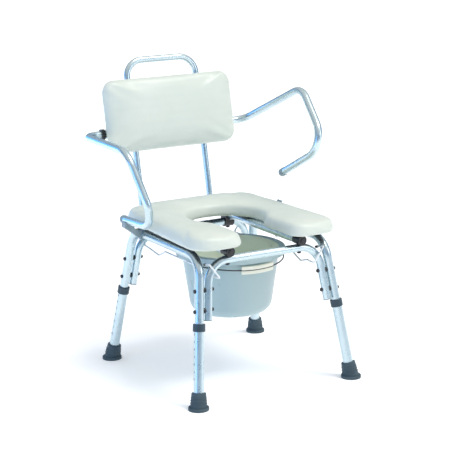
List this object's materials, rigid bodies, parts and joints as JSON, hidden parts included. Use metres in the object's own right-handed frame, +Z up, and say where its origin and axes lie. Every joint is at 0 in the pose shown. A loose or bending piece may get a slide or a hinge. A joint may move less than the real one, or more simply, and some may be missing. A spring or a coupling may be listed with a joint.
{
  "type": "commode chair",
  "caption": "Padded commode chair with a horseshoe seat over a slide-out pail, flip-up tube arms, a leaning backrest with a push handle and telescopic splayed legs.",
  "frame": {"origin": "on the floor, at the middle of the whole chair's length and width", "axes": "+Z up; -Y the way the sitter faces; +X the sitter's left"},
  "size_m": [0.6096, 0.6886, 0.8725],
  "materials": {
    "aluminium": "satin anodised",
    "vinyl": "pale greenish-white upholstery vinyl",
    "plywood": "black-painted plywood",
    "grey_rubber": "moulded grey rubber",
    "grey_plastic": "moulded slate-grey plastic",
    "black_plastic": "moulded black plastic",
    "light_plastic": "moulded light grey plastic",
    "pail_plastic": "smooth translucent grey-teal plastic",
    "cream_plastic": "moulded cream plastic",
    "zinc": "zinc-plated steel",
    "black_steel": "black-plated steel",
    "dark_wire": "dark coated wire",
    "white_wire": "white coated wire"
  },
  "bodies": {
    "frame": {"side_loop_right": "aluminium", "seat_rail_right": "aluminium", "arm_bush_right": "black_plastic", "arm_cradle_right": "light_plastic", "pail_carrier_right": "white_wire", "side_loop_left": "aluminium", "seat_rail_left": "aluminium", "arm_bush_left": "black_plastic", "arm_cradle_left": "light_plastic", "pail_carrier_left": "white_wire", "front_cross_loop": "aluminium", "rear_cross_loop": "aluminium", "cross_loop_plugs": "light_plastic", "leg_bolts": "black_steel", "leg_cap_nuts": "black_steel", "leg_spacers": "black_plastic", "rail_end_caps": "black_plastic", "rear_rail_clamps": "black_plastic", "rail_bolts": "black_steel", "rail_nuts": "black_steel", "seat_board": "plywood", "seat_cushion": "vinyl", "seat_screws": "zinc", "back_tube": "aluminium", "back_tube_sleeves": "light_plastic", "back_lock_screws": "zinc", "back_board": "plywood", "back_cushion": "vinyl", "back_screws": "zinc", "arm_pivot_tube": "aluminium", "pivot_tube_screws": "zinc", "carrier_tips": "black_plastic"},
    "arm_right": {"arm_right": "aluminium", "arm_end_cap_right": "light_plastic", "arm_retaining_ring_right": "zinc"},
    "arm_left": {"arm_left": "aluminium", "arm_end_cap_left": "light_plastic", "arm_retaining_ring_left": "zinc"},
    "leg_front_right": {"lower_leg_front_right": "aluminium", "leg_collar_front_right": "grey_plastic", "rubber_foot_front_right": "grey_rubber"},
    "button_front_right": {"leg_button_front_right": "zinc"},
    "leg_front_left": {"lower_leg_front_left": "aluminium", "leg_collar_front_left": "grey_plastic", "rubber_foot_front_left": "grey_rubber"},
    "button_front_left": {"leg_button_front_left": "zinc"},
    "leg_rear_right": {"lower_leg_rear_right": "aluminium", "leg_collar_rear_right": "grey_plastic", "rubber_foot_rear_right": "grey_rubber"},
    "button_rear_right": {"leg_button_rear_right": "zinc"},
    "leg_rear_left": {"lower_leg_rear_left": "aluminium", "leg_collar_rear_left": "grey_plastic", "rubber_foot_rear_left": "grey_rubber"},
    "button_rear_left": {"leg_button_rear_left": "zinc"},
    "pail": {"pail": "pail_plastic"},
    "bail": {"pail_bail": "dark_wire", "bail_grip": "cream_plastic"}
  },
  "joints": [
    {"name": "arm_right_flip", "type": "hinge", "parent": "frame", "child": "arm_right", "pos_m": [0, 0.29823, 0.658], "axis": [-1, 0, 0], "range_deg": [0, 95]},
    {"name": "arm_left_flip", "type": "hinge", "parent": "frame", "child": "arm_left", "pos_m": [0, 0.29823, 0.658], "axis": [-1, 0, 0], "range_deg": [-23.4, 71.6]},
    {"name": "leg_front_right_slide", "type": "slide", "parent": "frame", "child": "leg_front_right", "axis": [-0.1184, -0.1674, -0.9788], "range_m": [0, 0.123], "deforming": ["leg_button_front_right"]},
    {"name": "leg_front_left_slide", "type": "slide", "parent": "frame", "child": "leg_front_left", "axis": [0.1184, -0.1674, -0.9788], "range_m": [0, 0.123], "deforming": ["leg_button_front_left"]},
    {"name": "leg_rear_right_slide", "type": "slide", "parent": "frame", "child": "leg_rear_right", "axis": [-0.1184, 0.1674, -0.9788], "range_m": [0, 0.123], "deforming": ["leg_button_rear_right"]},
    {"name": "leg_rear_left_slide", "type": "slide", "parent": "frame", "child": "leg_rear_left", "axis": [0.1184, 0.1674, -0.9788], "range_m": [0, 0.123], "deforming": ["leg_button_rear_left"]},
    {"name": "button_front_right_press", "type": "slide", "parent": "frame", "child": "button_front_right", "axis": [1, 0, 0], "range_m": [0, 0.006], "stiffness_N_per_m": 1500, "springref_m": -0.003},
    {"name": "button_front_left_press", "type": "slide", "parent": "frame", "child": "button_front_left", "axis": [-1, 0, 0], "range_m": [0, 0.006], "stiffness_N_per_m": 1500, "springref_m": -0.003},
    {"name": "button_rear_right_press", "type": "slide", "parent": "frame", "child": "button_rear_right", "axis": [1, 0, 0], "range_m": [0, 0.006], "stiffness_N_per_m": 1500, "springref_m": -0.003},
    {"name": "button_rear_left_press", "type": "slide", "parent": "frame", "child": "button_rear_left", "axis": [-1, 0, 0], "range_m": [0, 0.006], "stiffness_N_per_m": 1500, "springref_m": -0.003},
    {"name": "pail_slide", "type": "slide", "parent": "frame", "child": "pail", "axis": [0, -1, 0], "range_m": [0, 0.12]},
    {"name": "bail_swing", "type": "hinge", "parent": "pail", "child": "bail", "pos_m": [0, -0.06877, 0.348], "axis": [1, 0, 0], "range_deg": [0, 20]}
  ]
}
